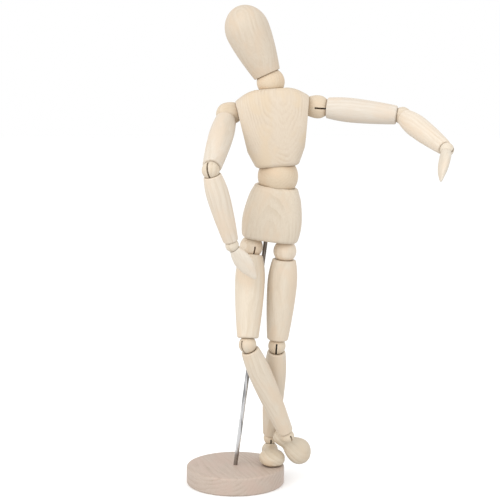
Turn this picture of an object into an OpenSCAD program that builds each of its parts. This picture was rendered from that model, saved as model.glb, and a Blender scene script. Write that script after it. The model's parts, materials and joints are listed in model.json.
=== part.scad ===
// Jointed wooden artist's mannequin, 12-inch size, standing on a round base.
// Frame: the origin is the centre of the base's underside, +Z is up, +X is the
// figure's left side and the figure faces -Y. All sizes are in millimetres.
// Every limb joint is built alike: a truncated wooden ball turns on the end of
// the limb above it, and a flat steel tongue swings on a cross pin in the
// ball's slot and is held in the limb below it.

/* [Stand] */
// Diameter of the round base
base_d = 63; // [55:1:90]
// Thickness of the round base
base_h = 11.5; // [8:0.5:18]
// Rounding of the base's two rims
base_round = 1.2; // [0.4:0.1:2.5]
// Diameter of the steel rod
rod_d = 2.6; // [2:0.1:3.5]
// Free length of the rod from the base's top to the pelvis
rod_free = 150.3; // [135:0.1:165]
// Depth of the rod in the base
rod_in_base = 9; // [5:0.5:10]
// Depth of the rod in the pelvis
rod_in_pelvis = 20; // [12:1:24]
// Lean of the rod towards the figure's left, in degrees
rod_lean_side = 7.5; // [0:0.5:12]
// Lean of the rod towards the front, in degrees
rod_lean_front = 3; // [0:0.5:10]
// How far the rod's hole lies to the figure's right of the pelvis centre
rod_offset = 2; // [0:0.1:3]
// How far the rod's hole lies behind the pelvis centre
rod_back = 5.5; // [0:0.1:6]

/* [Torso] */
// Height of the pelvis block
pelvis_h = 33.8; // [30:0.1:40]
// Height of the chest block
chest_h = 47.6; // [44:0.1:54]
// Rounding of the edges of the pelvis and chest
torso_round = 5; // [3:0.5:6]
// Diameter of the waist ball
waist_ball_d = 25; // [22:0.2:27]
// Height of the waist ball that shows between pelvis and chest
waist_gap = 12.4; // [10:0.2:15]
// Height of the shoulder joints above the chest's underside
shoulder_up = 35.4; // [31:0.1:37]
// Distance from the chest's middle to each shoulder face
shoulder_face_x = 21.6; // [20:0.1:24]
// Slope of the chest's sides, to which the shoulder joints are square, in degrees
shoulder_tilt = 9; // [0:0.5:14]
// Distance from the pelvis middle to each hip joint
hip_x = 10.6; // [9.6:0.1:12]

/* [Head and neck] */
// Diameter of the neck ball
neck_ball_d = 17.2; // [15:0.2:19]
// Height of the neck ball's centre above the chest
neck_up = 4.2; // [1:0.1:5]
// Distance from the neck ball's centre to the flat of the head
head_up = 5.1; // [4:0.1:7]
// Length of the egg-shaped head
head_h = 45; // [38:0.2:50]
// Widest diameter of the head
head_d = 27.2; // [24:0.2:31]
// Diameter of the flat under the head
head_flat_d = 16.8; // [13:0.2:18]

/* [Arms] */
// Diameter of the shoulder balls
shoulder_ball_d = 14.2; // [13:0.2:16]
// Distance between the shoulder and elbow ball centres
upper_arm_link = 52; // [46:0.5:58]
// Widest diameter of the upper arm
upper_arm_d = 15; // [13:0.2:16]
// Diameter of the elbow balls
elbow_ball_d = 10.6; // [9.6:0.2:12]
// Distance between the elbow and wrist ball centres
forearm_link = 49; // [44:0.5:54]
// Widest diameter of the forearm
forearm_d = 13.6; // [12:0.2:15]
// Diameter of the wrist balls
wrist_ball_d = 8.2; // [7.6:0.2:9]
// Length of the hand from the wrist ball's centre
hand_reach = 26; // [22:0.5:32]

/* [Legs] */
// Diameter of the hip balls
hip_ball_d = 14.4; // [13:0.2:16]
// Distance between the hip and knee ball centres
thigh_link = 61.1; // [56:0.1:70]
// Widest diameter of the thigh
thigh_d = 18.6; // [16:0.2:20]
// Diameter of the knee balls
knee_ball_d = 11; // [10:0.2:12]
// Distance between the knee and ankle ball centres
shin_link = 70.2; // [62:0.1:76]
// Widest diameter of the shin
shin_d = 14.4; // [13:0.2:17]
// Diameter of the ankle balls
ankle_ball_d = 8.6; // [8:0.2:9.6]
// Height of the ankle ball's centre above the sole
ankle_up = 13.7; // [13:0.1:16]
// Length of the foot from heel to toe
foot_l = 28.4; // [26:0.2:34]
// Widest width of the foot
foot_w = 16.6; // [14:0.2:18]

/* [Joints] */
// Clearance between a ball and the cup that holds it
cup_gap = 0.25; // [0.2:0.05:0.4]
// Clearance between two flat faces that turn on each other
face_gap = 0.12; // [0.08:0.02:0.3]
// Diameter of the cross pins in the balls
pin_d = 1.6; // [1.2:0.1:2]
// Clearance round a pin or a spigot that turns in its hole
turn_gap = 0.05; // [0.03:0.01:0.1]
// Thickness of the flat steel tongues
tongue_t = 0.8; // [0.6:0.1:1]
// Width of the saw slot in each ball
slot_w = 1.1; // [0.9:0.1:1.6]
// Diameter of the bore that runs up each limb
bore_d = 4.5; // [4:0.1:5]

/* [Pose of the torso] */
// Turn of the pelvis about the rod, in degrees
pelvis_turn = 0; // [-20:1:20]
// Twist, sideways tilt and forward bend of the chest on the waist
waist_pose = [1, -12, -4]; // [-20:1:20]
// Twist, sideways tilt and forward nod of the head on the neck
neck_pose = [0, -20, 0]; // [-30:1:30]

/* [Pose of the limbs] */
// Swivel of each ball about the limb above it, then swing of the limb below it
left_shoulder_pose = [-82, 11]; // [-180:1:180]
// Swivel and swing of the right shoulder
right_shoulder_pose = [-127, 71]; // [-180:1:180]
// Swivel and swing of the left elbow
left_elbow_pose = [18, 52]; // [-180:1:180]
// Swivel and swing of the right elbow
right_elbow_pose = [-81, 70]; // [-180:1:180]
// Swivel, swing and twist of the left hand
left_wrist_pose = [23, 43, 54]; // [-180:1:180]
// Swivel, swing and twist of the right hand
right_wrist_pose = [71, 17, 2]; // [-180:1:180]
// Swivel and swing of the left hip
left_hip_pose = [-6, 3]; // [-180:1:180]
// Swivel and swing of the right hip
right_hip_pose = [71, 16]; // [-180:1:180]
// Swivel and swing of the left knee
left_knee_pose = [-80, 16]; // [-180:1:180]
// Swivel and swing of the right knee
right_knee_pose = [-118, 36]; // [-180:1:180]
// Swivel, swing and twist of the left foot
left_ankle_pose = [165.7, 19.5, -1.4]; // [-180:1:180]
// Swivel, swing and twist of the right foot
right_ankle_pose = [-73.1, 66.2, 167.6]; // [-180:1:180]

/* [Hidden] */
// Smoothness of turned pieces, and of the blocks and carved pieces
$fn = 64;
carved_fn = 28;

left = 1;
right = -1;
bore_r = bore_d / 2;
pin_r = pin_d / 2;
rod_r = rod_d / 2;
// The ball's spigot fills the bore of the piece above it
spigot_r = bore_r - turn_gap;
spigot_l = 5;
// The tongue's flat eye round the pin, and its round stem in the piece below
eye_r = 2.1;
stem_r = 1.1;
stem_l = 9;
// Wood left over each end of a pin, and the clearance of the pressed-in pin
pin_cover = 1.4;
fit_gap = 0.02;
// Half-width of the flat between them, whose corners stay within the stem
flat_r = 1;
// The head on a thigh tongue's stem, which the thigh's spring pushes on
stem_head_r = 2;
stem_head_l = 1;
thigh_stem_l = 21;
spring_wire_r = 0.35;
// Distance from each ball's centre to its flat face, and to the rim of its cup
shoulder_face = 6.4;
shoulder_rim = 5.6;
elbow_face = 3.4;
elbow_rim = 3.3;
wrist_face = 2.6;
wrist_rim = 2.3;
hip_face = 5.9;
hip_rim = 5.4;
knee_face = 4;
knee_rim = 4.2;
ankle_face = 3.2;
ankle_rim = 2.6;
// How far each ball's slot is open above the ball's centre
shoulder_slot = 2.5;
elbow_slot = 1.5;
wrist_slot = 1;
hip_slot = 1.4;
knee_slot = 2.2;
ankle_slot = 1.2;
// How much longer the shoulder balls are towards the chest than a round ball
shoulder_stretch = 1.5;
// Each limb's diameters at its rim and its far end, and its widest place's share
// of the length
upper_arm_shape = [12.6, 11.4, 0.34];
forearm_shape = [10.6, 9, 0.3];
thigh_shape = [14.6, 13.2, 0.3];
shin_shape = [11.4, 9.8, 0.3];
// Distance from the ball above each limb at which the limb's bore begins
upper_arm_bore_start = 20;
forearm_bore_start = 19;
thigh_bore_start = 15;
shin_bore_start = 19;
// How far the heel reaches behind the ankle
foot_heel_back = 5.6;
// Length of the tongues' stems in the hands and in the feet
hand_stem_l = 9;
foot_stem_l = 5;
// Half-width, half-depth and height of the sections through the two blocks
pelvis_sections = [
    [17.7, 11.4, 3.4],
    [18.6, 12.6, 9],
    [18.4, 13, 16],
    [16.4, 12.8, 26],
    [14.6, 12.4, pelvis_h - 3.6]
];
chest_sections = [
    [14.2, 12.4, 3],
    [18.4, 13.6, 12],
    [22.4, 14.2, 23],
    [24, 14, 33],
    [23.8, 13.2, 37.4],
    [19.8, 12.4, 40.8],
    [14.6, 11.4, chest_h - torso_round]
];
// The straight parts of the bores that meet the waist and neck balls
pelvis_bore_l = 14;
head_bore_l = 8;
// Place, length and turns of the springs in the chest and the thighs
chest_spring_z = 13;
chest_spring_l = 22;
chest_spring_turns = 30;
thigh_spring_l = 14;
thigh_spring_turns = 20;
// Larger than the whole figure, for cutting away one side of a shape
beyond = 60;
// The vertical bore of the torso and the wire links in the waist and neck balls
torso_bore_r = 3;
head_bore_r = 2.2;
waist_link_bore_r = 3.6;
neck_link_bore_r = 3.1;
link_share = 0.5;
waist_link_r = 1;
neck_link_r = 0.8;

function pick(side, on_left, on_right) = side == left ? on_left : on_right;
function pin_l(ball_d) = ball_d - 2 * pin_cover;
function chest_half_width(z) = shoulder_face_x + (z - shoulder_up) * tan(shoulder_tilt);

// ---- Frames: each module moves its children to one piece's own frame ----

// On the rod, with the origin where the rod leaves the base
module on_rod() {
    translate([0, 0, base_h])
        rotate([0, rod_lean_side, 0])
            rotate([rod_lean_front, 0, 0])
                children();
}

// On the pelvis, with the origin in the middle of its underside
module on_pelvis() {
    on_rod()
        rotate([0, 0, pelvis_turn])
            translate([rod_offset, -rod_back, rod_free])
                children();
}

// At the centre of the waist ball, twisted with the wire link
module at_waist() {
    on_pelvis()
        translate([0, 0, pelvis_h + waist_gap / 2])
            rotate([0, 0, waist_pose[0]])
                children();
}

module on_waist_ball() {
    at_waist()
        rotate([0, waist_pose[1], 0])
            children();
}

// On the chest, with the origin in the middle of its underside
module on_chest() {
    on_waist_ball()
        rotate([waist_pose[2], 0, 0])
            translate([0, 0, waist_gap / 2])
                children();
}

module at_neck() {
    on_chest()
        translate([0, 0, chest_h + neck_up])
            rotate([0, 0, neck_pose[0]])
                children();
}

module on_neck_ball() {
    at_neck()
        rotate([0, neck_pose[1], 0])
            children();
}

// On the head, with the origin in the middle of its flat
module on_head() {
    on_neck_ball()
        rotate([neck_pose[2], 0, 0])
            translate([0, 0, head_up])
                children();
}

// A limb frame has its origin at a ball's centre and +Z along the limb.
// The ball swivels about +Z, and the limb then swings about the pin, along +Y.
module swivelled(pose) {
    rotate([0, 0, pose[0]])
        children();
}

module swung(pose) {
    rotate([0, pose[1], 0])
        children();
}

module twisted(pose) {
    rotate([0, 0, pose[2]])
        children();
}

module on_shoulder_ball(side) {
    on_chest()
        translate([side * shoulder_face_x, 0, shoulder_up])
            rotate([0, side * (90 + shoulder_tilt), 0])
                translate([0, 0, shoulder_face])
                    swivelled(pick(side, left_shoulder_pose, right_shoulder_pose))
                        children();
}

module on_upper_arm(side) {
    on_shoulder_ball(side)
        swung(pick(side, left_shoulder_pose, right_shoulder_pose))
            children();
}

module on_elbow_ball(side) {
    on_upper_arm(side)
        translate([0, 0, upper_arm_link])
            swivelled(pick(side, left_elbow_pose, right_elbow_pose))
                children();
}

module on_forearm(side) {
    on_elbow_ball(side)
        swung(pick(side, left_elbow_pose, right_elbow_pose))
            children();
}

module on_wrist_ball(side) {
    on_forearm(side)
        translate([0, 0, forearm_link])
            swivelled(pick(side, left_wrist_pose, right_wrist_pose))
                children();
}

module on_wrist_tongue(side) {
    on_wrist_ball(side)
        swung(pick(side, left_wrist_pose, right_wrist_pose))
            children();
}

module on_hand(side) {
    on_wrist_tongue(side)
        twisted(pick(side, left_wrist_pose, right_wrist_pose))
            children();
}

module on_hip_ball(side) {
    on_pelvis()
        translate([side * hip_x, 0, -hip_face])
            rotate([180, 0, 0])
                swivelled(pick(side, left_hip_pose, right_hip_pose))
                    children();
}

module on_thigh(side) {
    on_hip_ball(side)
        swung(pick(side, left_hip_pose, right_hip_pose))
            children();
}

module on_knee_ball(side) {
    on_thigh(side)
        translate([0, 0, thigh_link])
            swivelled(pick(side, left_knee_pose, right_knee_pose))
                children();
}

module on_shin(side) {
    on_knee_ball(side)
        swung(pick(side, left_knee_pose, right_knee_pose))
            children();
}

module on_ankle_ball(side) {
    on_shin(side)
        translate([0, 0, shin_link])
            swivelled(pick(side, left_ankle_pose, right_ankle_pose))
                children();
}

module on_ankle_tongue(side) {
    on_ankle_ball(side)
        swung(pick(side, left_ankle_pose, right_ankle_pose))
            children();
}

module on_foot(side) {
    on_ankle_tongue(side)
        twisted(pick(side, left_ankle_pose, right_ankle_pose))
            children();
}

// ---- The parts that every limb joint shares ----

// The slot's plane is XZ. It is open below the ball and round behind the eye.
module ball_slot(r, slot_top) {
    rotate([90, 0, 0])
        linear_extrude(slot_w, center = true)
            union() {
                translate([-r - 1, -slot_top])
                    square([2 * r + 2, r + slot_top + 1]);
                circle(eye_r + 0.3);
            }
}

// The half of a ball towards its flat face, drawn out along its axis
module stretched_half(r, top, stretch) {
    steps = 16;
    half_angle = asin(top / (r * stretch));
    outline = [
        for (i = [0 : steps])
            let (angle = half_angle * i / steps)
            [r * cos(angle), -r * stretch * sin(angle)]
    ];
    rotate_extrude()
        polygon(concat([[0, 0]], outline, [[0, -top]]));
}

// A turned ball with a flat face and a spigot above, a slot below and its pin's
// hole, whose two ends are closed
module joint_ball(d, face, slot_top, stretch = 1) {
    r = d / 2;
    top = face - face_gap;
    difference() {
        union() {
            intersection() {
                sphere(r);
                translate([-r - 1, -r - 1, -top])
                    cube([d + 2, d + 2, r + top + 1]);
            }
            if (stretch > 1)
                stretched_half(r, top, stretch);
            translate([0, 0, -top - spigot_l])
                cylinder(r = spigot_r, h = spigot_l + 0.5);
        }
        ball_slot(r, slot_top);
        rotate([90, 0, 0])
            cylinder(r = pin_r + fit_gap, h = pin_l(d) + 2 * fit_gap, center = true);
    }
}

// A cross pin, which stays below the ball's surface at both ends
module cross_pin(d) {
    rotate([90, 0, 0])
        cylinder(r = pin_r, h = pin_l(d), center = true);
}

// A flat eye on the pin and a round stem in the limb below
module tongue(d, length, head = false) {
    r = d / 2;
    neck_end = r + 1.5;
    difference() {
        union() {
            rotate([90, 0, 0])
                cylinder(r = eye_r, h = tongue_t, center = true);
            translate([-flat_r, -tongue_t / 2, 0])
                cube([2 * flat_r, tongue_t, neck_end + 0.5]);
            translate([0, 0, neck_end])
                cylinder(r = stem_r, h = length);
            if (head)
                translate([0, 0, neck_end + length])
                    cylinder(r = stem_head_r, h = stem_head_l);
        }
        rotate([90, 0, 0])
            cylinder(r = pin_r + turn_gap, h = tongue_t + 1, center = true);
    }
}

// Half-width of a turned limb at a share t of its length
function limb_r(t, shape, d_max) =
    let (peak = shape[2],
         end_r = t < peak ? shape[0] / 2 : shape[1] / 2,
         away = t < peak ? (peak - t) / peak : (t - peak) / (1 - peak))
    d_max / 2 - (d_max / 2 - end_r) * pow(away, t < peak ? 2 : 1.6);

// A turned wooden limb from its cup's rim to its flat end, before drilling
module turned_limb(start, length, shape, d_max) {
    steps = 24;
    edge = 0.7;
    outline = [
        for (i = [0 : steps])
            let (t = i / steps,
                 pull = (i == 0 || i == steps) ? edge : 0)
            [limb_r(t, shape, d_max) - pull, start + t * length]
    ];
    rotate_extrude()
        polygon(concat([[0, start]], outline, [[0, start + length]]));
}

// The cup for the ball above, the stem's hole and the bore from the far end
module limb_holes(ball_d, bore_start, end) {
    sphere(ball_d / 2 + cup_gap);
    cylinder(r = stem_r + turn_gap, h = end + 1);
    translate([0, 0, bore_start])
        cylinder(r = bore_r, h = end - bore_start + 1);
}

// ---- Stand ----

module base() {
    color("#d9b99a")
        difference() {
            rotate_extrude($fn = 128)
                hull() {
                    square([base_d / 2 - base_round, base_h]);
                    for (z = [base_round, base_h - base_round])
                        translate([base_d / 2 - base_round, z])
                            circle(base_round);
                }
            on_rod()
                translate([0, 0, -rod_in_base])
                    cylinder(r = rod_r + turn_gap, h = rod_in_base + 10);
        }
}

module rod() {
    color("#9a9a98")
        on_rod()
            translate([0, 0, -rod_in_base])
                cylinder(r = rod_r, h = rod_in_base + rod_free + rod_in_pelvis);
}

// ---- Torso ----

// A block with rounded edges through [half-width, half-depth, height] sections
module rounded_block(sections) {
    hull()
        for (s = sections)
            for (x = [-1, 1], y = [-1, 1])
                translate([x * (s[0] - torso_round), y * (s[1] - torso_round), s[2]])
                    sphere(torso_round, $fn = carved_fn);
}

module pelvis() {
    color("#e9d8bd")
        on_pelvis()
            difference() {
                intersection() {
                    rounded_block(pelvis_sections);
                    translate([-beyond, -beyond, 0])
                        cube([2 * beyond, 2 * beyond, pelvis_h]);
                }
                translate([0, 0, pelvis_h + waist_gap / 2])
                    sphere(waist_ball_d / 2 + cup_gap);
                translate([0, 0, pelvis_h - pelvis_bore_l])
                    cylinder(r = torso_bore_r, h = pelvis_bore_l + 1);
                for (side = [left, right])
                    translate([side * hip_x, 0, -1])
                        cylinder(r = bore_r, h = spigot_l + 2);
                translate([-rod_offset, rod_back, -1])
                    cylinder(r = rod_r + turn_gap, h = rod_in_pelvis + 2);
            }
}

// A turned ball drilled along its axis for a wire link
module drilled_ball(d, hole_r) {
    difference() {
        sphere(d / 2, $fn = 96);
        cylinder(r = hole_r, h = d, center = true);
    }
}

// A short wire link inside a ball, loose enough for the ball to rock on it
module wire_link(d, r) {
    cylinder(r = r, h = link_share * d, center = true);
}

module waist_ball() {
    color("#ead3b0")
        on_waist_ball()
            drilled_ball(waist_ball_d, waist_link_bore_r);
}

module waist_link() {
    color("#8f9194")
        at_waist()
            wire_link(waist_ball_d, waist_link_r);
}

// The space between the two sloping sides on which the shoulder joints sit
module between_shoulders() {
    rotate([90, 0, 0])
        linear_extrude(2 * beyond, center = true)
            polygon([
                [-chest_half_width(0), 0],
                [chest_half_width(0), 0],
                [chest_half_width(chest_h), chest_h],
                [-chest_half_width(chest_h), chest_h]
            ]);
}

module chest() {
    color("#ecdcc2")
        on_chest()
            difference() {
                intersection() {
                    rounded_block(chest_sections);
                    between_shoulders();
                }
                translate([0, 0, -waist_gap / 2])
                    sphere(waist_ball_d / 2 + cup_gap);
                translate([0, 0, chest_h + neck_up])
                    sphere(neck_ball_d / 2 + cup_gap);
                cylinder(r = torso_bore_r, h = chest_h);
                for (side = [left, right])
                    translate([side * shoulder_face_x, 0, shoulder_up])
                        rotate([0, -side * (90 - shoulder_tilt), 0])
                            translate([0, 0, -1])
                                cylinder(r = bore_r, h = spigot_l + 2);
            }
}

// A closely wound spring, drawn as the ribbed sleeve that its turns form
module close_spring(outer_r, length, turns) {
    pitch = length / turns;
    rotate_extrude()
        union() {
            translate([outer_r - 2 * spring_wire_r, 0])
                square([spring_wire_r, length]);
            for (i = [0 : turns - 1])
                translate([outer_r - spring_wire_r, (i + 0.5) * pitch])
                    circle(spring_wire_r);
        }
}

module chest_spring() {
    color("#8f9194")
        on_chest()
            translate([0, 0, chest_spring_z])
                close_spring(torso_bore_r - 0.2, chest_spring_l, chest_spring_turns);
}

// ---- Neck and head ----

module neck_ball() {
    color("#ead3b0")
        on_neck_ball()
            drilled_ball(neck_ball_d, neck_link_bore_r);
}

module neck_link() {
    color("#8f9194")
        at_neck()
            wire_link(neck_ball_d, neck_link_r);
}

// Half-width of the egg at height z: a taper that swells up to its widest place,
// with a half-ellipse above it
function head_r(z) =
    let (wide_z = 0.652 * head_h,
         below = (wide_z - z) / wide_z,
         above = (z - wide_z) / (head_h - wide_z))
    z < wide_z
        ? head_d / 2 - (head_d - head_flat_d) / 2 * pow(below, 1.5)
        : head_d / 2 * sqrt(max(0, 1 - above * above));

module head() {
    steps = 40;
    edge = 0.6;
    outline = [
        for (i = [0 : steps])
            let (z = head_h * sin(90 * i / steps))
            [head_r(z) - (i == 0 ? edge : 0), z]
    ];
    color("#efe0c6")
        on_head()
            difference() {
                rotate_extrude($fn = 96)
                    polygon(concat([[0, 0]], outline));
                translate([0, 0, -head_up])
                    sphere(neck_ball_d / 2 + cup_gap);
                cylinder(r = head_bore_r, h = head_bore_l);
            }
}

// ---- Arms ----

module shoulder_ball(side) {
    color("#ead3b0")
        on_shoulder_ball(side)
            joint_ball(shoulder_ball_d, shoulder_face, shoulder_slot, shoulder_stretch);
}

module upper_arm(side) {
    length = upper_arm_link - shoulder_rim - elbow_face;
    color("#ecdcc2")
        on_upper_arm(side)
            difference() {
                turned_limb(shoulder_rim, length, upper_arm_shape, upper_arm_d);
                limb_holes(shoulder_ball_d, upper_arm_bore_start, shoulder_rim + length);
            }
}

module elbow_ball(side) {
    color("#ecdcc2")
        on_elbow_ball(side)
            joint_ball(elbow_ball_d, elbow_face, elbow_slot);
}

module forearm(side) {
    length = forearm_link - elbow_rim - wrist_face;
    color("#ecdcc2")
        on_forearm(side)
            difference() {
                turned_limb(elbow_rim, length, forearm_shape, forearm_d);
                limb_holes(elbow_ball_d, forearm_bore_start, elbow_rim + length);
            }
}

module wrist_ball(side) {
    color("#ecdcc2")
        on_wrist_ball(side)
            joint_ball(wrist_ball_d, wrist_face, wrist_slot);
}

// A carved mitten hand: narrow at the wrist, broad at the knuckles, pointed at the tip
module hand(side) {
    wrist_r = 3.2;
    palm = [5.3, 2.8, 6];
    fingers = [1.9, 0.9, 2.4];
    color("#ecdcc2")
        on_hand(side)
            difference() {
                hull() {
                    translate([0, 0, wrist_rim])
                        cylinder(r = wrist_r, h = 1, $fn = carved_fn);
                    translate([0, 0, 0.46 * hand_reach])
                        scale(palm)
                            sphere(1, $fn = carved_fn);
                    translate([0.6, 0.8, hand_reach - fingers[2]])
                        scale(fingers)
                            sphere(1, $fn = carved_fn);
                }
                sphere(wrist_ball_d / 2 + cup_gap);
                cylinder(r = stem_r + turn_gap, h = wrist_ball_d / 2 + 2 + hand_stem_l);
            }
}

// ---- Legs ----

module hip_ball(side) {
    color("#ecdcc2")
        on_hip_ball(side)
            joint_ball(hip_ball_d, hip_face, hip_slot);
}

module thigh(side) {
    length = thigh_link - hip_rim - knee_face;
    color("#ecdcc2")
        on_thigh(side)
            difference() {
                turned_limb(hip_rim, length, thigh_shape, thigh_d);
                limb_holes(hip_ball_d, thigh_bore_start, hip_rim + length);
            }
}

// The spring bears on the shoulder in the thigh's bore and on the stem's head
module thigh_spring(side) {
    color("#8f9194")
        on_thigh(side)
            translate([0, 0, thigh_bore_start + 0.1])
                close_spring(bore_r - 0.1, thigh_spring_l, thigh_spring_turns);
}

module knee_ball(side) {
    color("#ecdcc2")
        on_knee_ball(side)
            joint_ball(knee_ball_d, knee_face, knee_slot);
}

module shin(side) {
    length = shin_link - knee_rim - ankle_face;
    color("#ecdcc2")
        on_shin(side)
            difference() {
                turned_limb(knee_rim, length, shin_shape, shin_d);
                limb_holes(knee_ball_d, shin_bore_start, knee_rim + length);
            }
}

module ankle_ball(side) {
    color("#ecdcc2")
        on_ankle_ball(side)
            joint_ball(ankle_ball_d, ankle_face, ankle_slot);
}

// One rounded mass of a carved piece
module lobe(centre, half_size) {
    translate(centre)
        scale(half_size)
            sphere(1, $fn = carved_fn);
}

// A carved foot with its toes towards +X, a flat sole and its ball set inwards
module foot(side) {
    toe_in = 1.6 * side;
    toe_half = [9.1, foot_w / 2, 6];
    toe = [foot_l - foot_heel_back - toe_half[0], toe_in, ankle_up - 4];
    heel_half = [4.6, 5.4, 5.4];
    heel = [heel_half[0] - foot_heel_back, 0, ankle_up - 4.6];
    instep_half = [4, 4.7, 5];
    instep = [5, toe_in / 2, ankle_up - 4.4];
    rim_r = 4.7;
    color("#ecdcc2")
        on_foot(side)
            difference() {
                intersection() {
                    union() {
                        hull() {
                            lobe(toe, toe_half);
                            lobe(instep, instep_half);
                        }
                        hull() {
                            translate([0, 0, ankle_rim])
                                cylinder(r = rim_r, h = 1, $fn = carved_fn);
                            lobe(heel, heel_half);
                            lobe(instep, instep_half);
                        }
                    }
                    translate([-beyond, -beyond, ankle_up - 2 * beyond])
                        cube(2 * beyond);
                }
                sphere(ankle_ball_d / 2 + cup_gap);
                cylinder(r = stem_r + turn_gap, h = ankle_up - 1.5);
            }
}

// ---- Steel hardware of the limb joints ----

module steel() {
    color("#8f9194")
        children();
}

module shoulder_pin(side) {
    steel()
        on_shoulder_ball(side)
            cross_pin(shoulder_ball_d);
}

module shoulder_tongue(side) {
    steel()
        on_upper_arm(side)
            tongue(shoulder_ball_d, stem_l);
}

module elbow_pin(side) {
    steel()
        on_elbow_ball(side)
            cross_pin(elbow_ball_d);
}

module elbow_tongue(side) {
    steel()
        on_forearm(side)
            tongue(elbow_ball_d, stem_l);
}

module wrist_pin(side) {
    steel()
        on_wrist_ball(side)
            cross_pin(wrist_ball_d);
}

module wrist_tongue(side) {
    steel()
        on_wrist_tongue(side)
            tongue(wrist_ball_d, hand_stem_l);
}

module hip_pin(side) {
    steel()
        on_hip_ball(side)
            cross_pin(hip_ball_d);
}

module hip_tongue(side) {
    steel()
        on_thigh(side)
            tongue(hip_ball_d, thigh_stem_l, head = true);
}

module knee_pin(side) {
    steel()
        on_knee_ball(side)
            cross_pin(knee_ball_d);
}

module knee_tongue(side) {
    steel()
        on_shin(side)
            tongue(knee_ball_d, stem_l);
}

module ankle_pin(side) {
    steel()
        on_ankle_ball(side)
            cross_pin(ankle_ball_d);
}

module ankle_tongue(side) {
    steel()
        on_ankle_tongue(side)
            tongue(ankle_ball_d, foot_stem_l);
}

base();
rod();
pelvis();
waist_link();
waist_ball();
chest();
chest_spring();
neck_link();
neck_ball();
head();
shoulder_ball(left);  // left_shoulder_ball
shoulder_pin(left);  // left_shoulder_pin
shoulder_tongue(left);  // left_shoulder_tongue
upper_arm(left);  // left_upper_arm
elbow_ball(left);  // left_elbow_ball
elbow_pin(left);  // left_elbow_pin
elbow_tongue(left);  // left_elbow_tongue
forearm(left);  // left_forearm
wrist_ball(left);  // left_wrist_ball
wrist_pin(left);  // left_wrist_pin
wrist_tongue(left);  // left_wrist_tongue
hand(left);  // left_hand
hip_ball(left);  // left_hip_ball
hip_pin(left);  // left_hip_pin
hip_tongue(left);  // left_hip_tongue
thigh(left);  // left_thigh
thigh_spring(left);  // left_thigh_spring
knee_ball(left);  // left_knee_ball
knee_pin(left);  // left_knee_pin
knee_tongue(left);  // left_knee_tongue
shin(left);  // left_shin
ankle_ball(left);  // left_ankle_ball
ankle_pin(left);  // left_ankle_pin
ankle_tongue(left);  // left_ankle_tongue
foot(left);  // left_foot
shoulder_ball(right);  // right_shoulder_ball
shoulder_pin(right);  // right_shoulder_pin
shoulder_tongue(right);  // right_shoulder_tongue
upper_arm(right);  // right_upper_arm
elbow_ball(right);  // right_elbow_ball
elbow_pin(right);  // right_elbow_pin
elbow_tongue(right);  // right_elbow_tongue
forearm(right);  // right_forearm
wrist_ball(right);  // right_wrist_ball
wrist_pin(right);  // right_wrist_pin
wrist_tongue(right);  // right_wrist_tongue
hand(right);  // right_hand
hip_ball(right);  // right_hip_ball
hip_pin(right);  // right_hip_pin
hip_tongue(right);  // right_hip_tongue
thigh(right);  // right_thigh
thigh_spring(right);  // right_thigh_spring
knee_ball(right);  // right_knee_ball
knee_pin(right);  // right_knee_pin
knee_tongue(right);  // right_knee_tongue
shin(right);  // right_shin
ankle_ball(right);  // right_ankle_ball
ankle_pin(right);  // right_ankle_pin
ankle_tongue(right);  // right_ankle_tongue
foot(right);  // right_foot
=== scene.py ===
"""Looks of a jointed wooden artist's mannequin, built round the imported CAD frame.

Every turned or carved wooden piece is modelled here in its own frame, in
millimetres, with +Z along the piece, and is then placed from the joints of the
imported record. The steel pieces keep their CAD shape and get a steel material.
"""

import json
import math

import bmesh
import bpy
from mathutils import Matrix, Vector, noise


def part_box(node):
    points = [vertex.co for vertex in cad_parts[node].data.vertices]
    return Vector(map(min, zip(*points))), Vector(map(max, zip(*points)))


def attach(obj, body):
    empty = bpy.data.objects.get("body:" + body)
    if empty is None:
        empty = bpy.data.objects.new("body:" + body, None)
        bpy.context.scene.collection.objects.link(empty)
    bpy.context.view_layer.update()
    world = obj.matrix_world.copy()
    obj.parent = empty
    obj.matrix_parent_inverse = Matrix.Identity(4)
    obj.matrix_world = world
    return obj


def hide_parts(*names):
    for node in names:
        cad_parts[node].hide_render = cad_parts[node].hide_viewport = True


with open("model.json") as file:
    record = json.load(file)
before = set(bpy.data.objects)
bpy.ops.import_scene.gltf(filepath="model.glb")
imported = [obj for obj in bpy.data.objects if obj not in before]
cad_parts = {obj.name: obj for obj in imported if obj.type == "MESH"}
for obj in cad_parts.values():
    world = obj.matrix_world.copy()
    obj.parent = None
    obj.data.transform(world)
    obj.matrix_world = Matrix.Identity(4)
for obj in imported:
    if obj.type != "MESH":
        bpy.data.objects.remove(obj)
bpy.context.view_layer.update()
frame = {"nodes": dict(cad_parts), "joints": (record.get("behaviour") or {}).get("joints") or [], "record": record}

MM = 0.001
SIDES = ("left", "right")
JOINTS = {joint["name"]: joint for joint in frame["joints"]}
BODY_OF = {
    node: body
    for body, nodes in frame["record"]["behaviour"]["bodies"].items()
    for node in nodes
}

# ---- Sizes of the figure, in millimetres ----

BASE = {"radius": 31.5, "height": 11.5, "edge": 1.3}
PELVIS_HEIGHT = 33.8
CHEST_HEIGHT = 47.6
WAIST_GAP = 12.4
SHOULDER_UP = 35.4
SHOULDER_FACE_X = 21.6
SHOULDER_SLOPE = 9
WAIST_BALL = 25
NECK_BALL = 17.2
NECK_UP = 4.2
HEAD = {"height": 45, "width": 27.2, "flat": 16.8, "up": 5.1, "widest": 0.652, "swell": 1.5}
CUP_GAP = 0.25
FACE_GAP = 0.12
BORE_RADIUS = 2.25
SPIGOT = {"radius": 2.2, "length": 5}
SLOT_WIDTH = 1.1
SHOULDER_STRETCH = 1.5

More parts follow.
